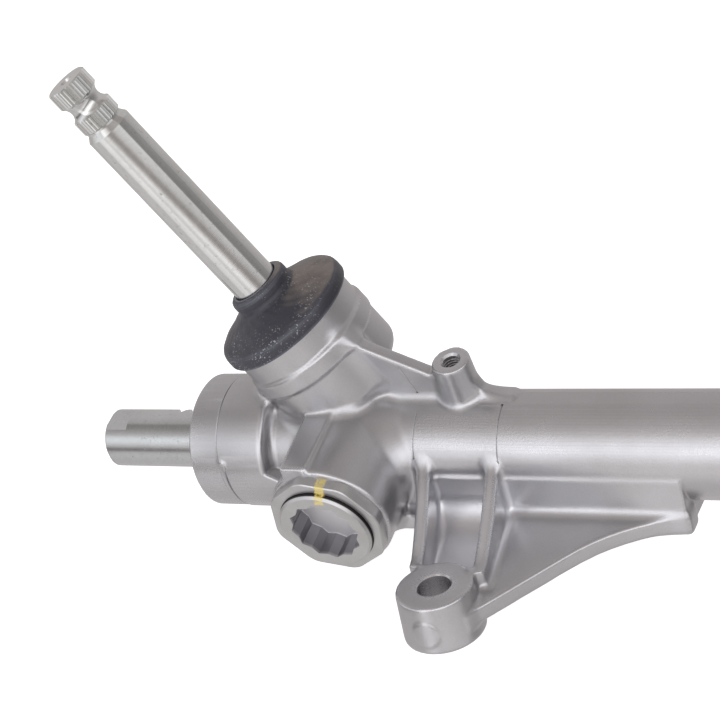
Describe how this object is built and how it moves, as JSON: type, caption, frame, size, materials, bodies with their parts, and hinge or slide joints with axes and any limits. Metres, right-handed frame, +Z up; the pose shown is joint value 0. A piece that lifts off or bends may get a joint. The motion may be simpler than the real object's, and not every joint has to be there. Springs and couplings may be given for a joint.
{
  "type": "steering rack",
  "caption": "Rack and pinion steering gear: cast housing with lugs, pinion tower and guide chamber, long serrated input shaft, and a toothed bar that slides through it.",
  "frame": {"origin": "left mounting bolt's axis at the lug's underside, the mounting plane", "axes": "+X along the rack to the right, +Z up along the mounting bolts, -Y towards the lugs and the guide plug"},
  "size_m": [0.627, 0.1302, 0.2144],
  "materials": {
    "cast_aluminium": "satin die casting with a fine grain",
    "machined_aluminium": "satin, turned",
    "ground_steel": "ground bar steel",
    "bearing_steel": "polished",
    "spring_steel": "dark drawn wire",
    "cover_rubber": "matt, dusty",
    "seal_rubber": "matt",
    "bush_plastic": "plain",
    "liner_polymer": "low-friction sheet"
  },
  "bodies": {
    "housing": {"rack_housing": "cast_aluminium", "upper_bearing_outer_race": "bearing_steel", "pinion_lock_plug": "machined_aluminium", "pinion_oil_seal": "seal_rubber", "pinion_seal_spring": "spring_steel", "pinion_dust_cover": "cover_rubber", "lower_bearing_cup": "bearing_steel", "rack_guide_plug": "machined_aluminium", "plug_o_ring": "seal_rubber", "rack_guide_lock_nut": "machined_aluminium", "rack_guide_spring": "spring_steel", "rack_bush": "bush_plastic", "rack_bush_o_rings": "seal_rubber", "rack_bush_retainer": "spring_steel"},
    "rack": {"rack_bar": "ground_steel"},
    "pinion": {"pinion_shaft": "ground_steel", "upper_bearing_inner_race": "bearing_steel", "bearing_circlip": "spring_steel"},
    "ball_cage": {"upper_bearing_balls": "bearing_steel", "upper_bearing_cage": "spring_steel"},
    "needle_set": {"lower_bearing_needles": "bearing_steel"},
    "guide": {"rack_guide": "machined_aluminium", "rack_guide_liner": "liner_polymer", "rack_guide_o_rings": "seal_rubber"}
  },
  "joints": [
    {"name": "rack_slide", "type": "slide", "parent": "housing", "child": "rack", "axis": [1, 0, 0], "range_m": [-0.075, 0.075]},
    {"name": "pinion_turn", "type": "hinge", "parent": "housing", "child": "pinion", "pos_m": [-0.0575, 0.09133, 0.03772], "axis": [-0.3746, -0.1928, 0.9069], "range_deg": [-564, 564]},
    {"name": "ball_cage_turn", "type": "hinge", "parent": "housing", "child": "ball_cage", "pos_m": [-0.0575, 0.09133, 0.03772], "axis": [-0.3746, -0.1928, 0.9069], "range_deg": [-216, 216]},
    {"name": "needle_set_turn", "type": "hinge", "parent": "housing", "child": "needle_set", "pos_m": [-0.0575, 0.09133, 0.03772], "axis": [-0.3746, -0.1928, 0.9069], "range_deg": [-243, 243]},
    {"name": "guide_float", "type": "slide", "parent": "housing", "child": "guide", "axis": [0, -0.9781, -0.2079], "range_m": [0, 0.0001], "stiffness_N_per_m": 5000, "springref_m": -0.002}
  ],
  "couplings": [
    {"joint": "pinion_turn", "follows": "rack_slide", "rad_per_m": 130.86},
    {"joint": "ball_cage_turn", "follows": "rack_slide", "rad_per_m": 49.921},
    {"joint": "needle_set_turn", "follows": "rack_slide", "rad_per_m": 56.115}
  ]
}
